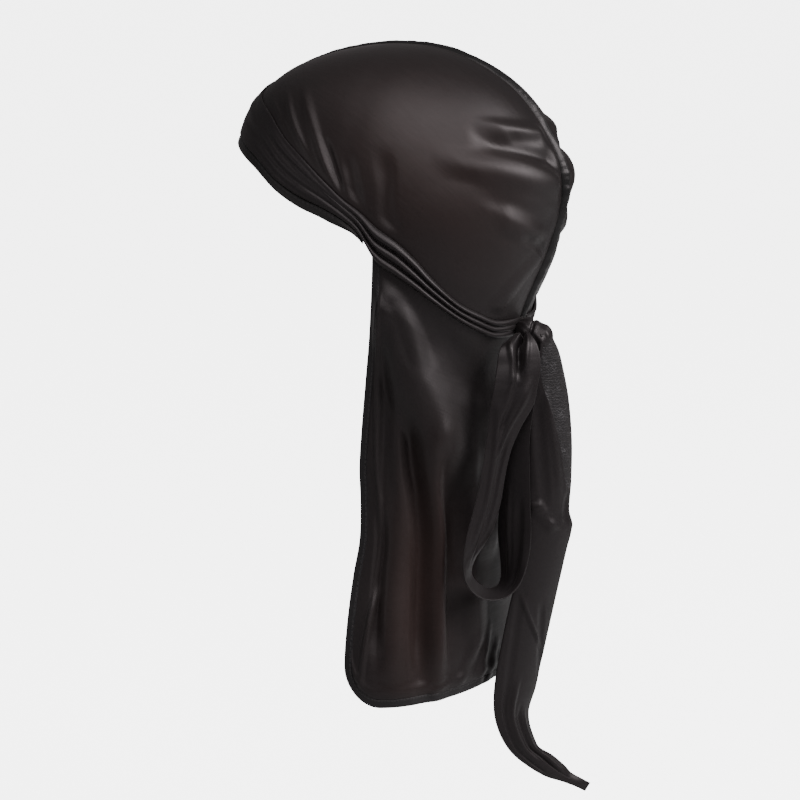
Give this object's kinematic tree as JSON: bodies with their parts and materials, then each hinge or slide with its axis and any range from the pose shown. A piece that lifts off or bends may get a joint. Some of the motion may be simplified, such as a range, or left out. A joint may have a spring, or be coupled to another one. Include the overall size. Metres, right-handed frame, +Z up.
{
  "type": "durag",
  "caption": "Satin durag in its worn form: pleated ties round a smooth seamed crown, knotted at the nape, with a hanging loop, tail and hemmed neck flap.",
  "frame": {"origin": "middle of the wearer's head at the height of the ear tops, inside the crown", "axes": "+Z up, the wearer faces -Y, the wearer's left is +X"},
  "size_m": [0.1896, 0.2164, 0.4651],
  "materials": {
    "satin": "black polyester satin, soft sheen",
    "tie": "black polyester satin, pleated",
    "hem": "black folded and stitched satin edge",
    "seam": "black puckered satin seam"
  },
  "bodies": {
    "root": {"crown_left": "satin", "crown_right": "satin", "center_seam": "seam", "front_hem": "hem", "tie_band_left": "tie", "tie_band_right": "tie", "knot": "tie", "tie_loop": "tie", "tie_tail": "tie", "neck_flap": "satin", "flap_hem": "hem"}
  },
  "joints": []
}
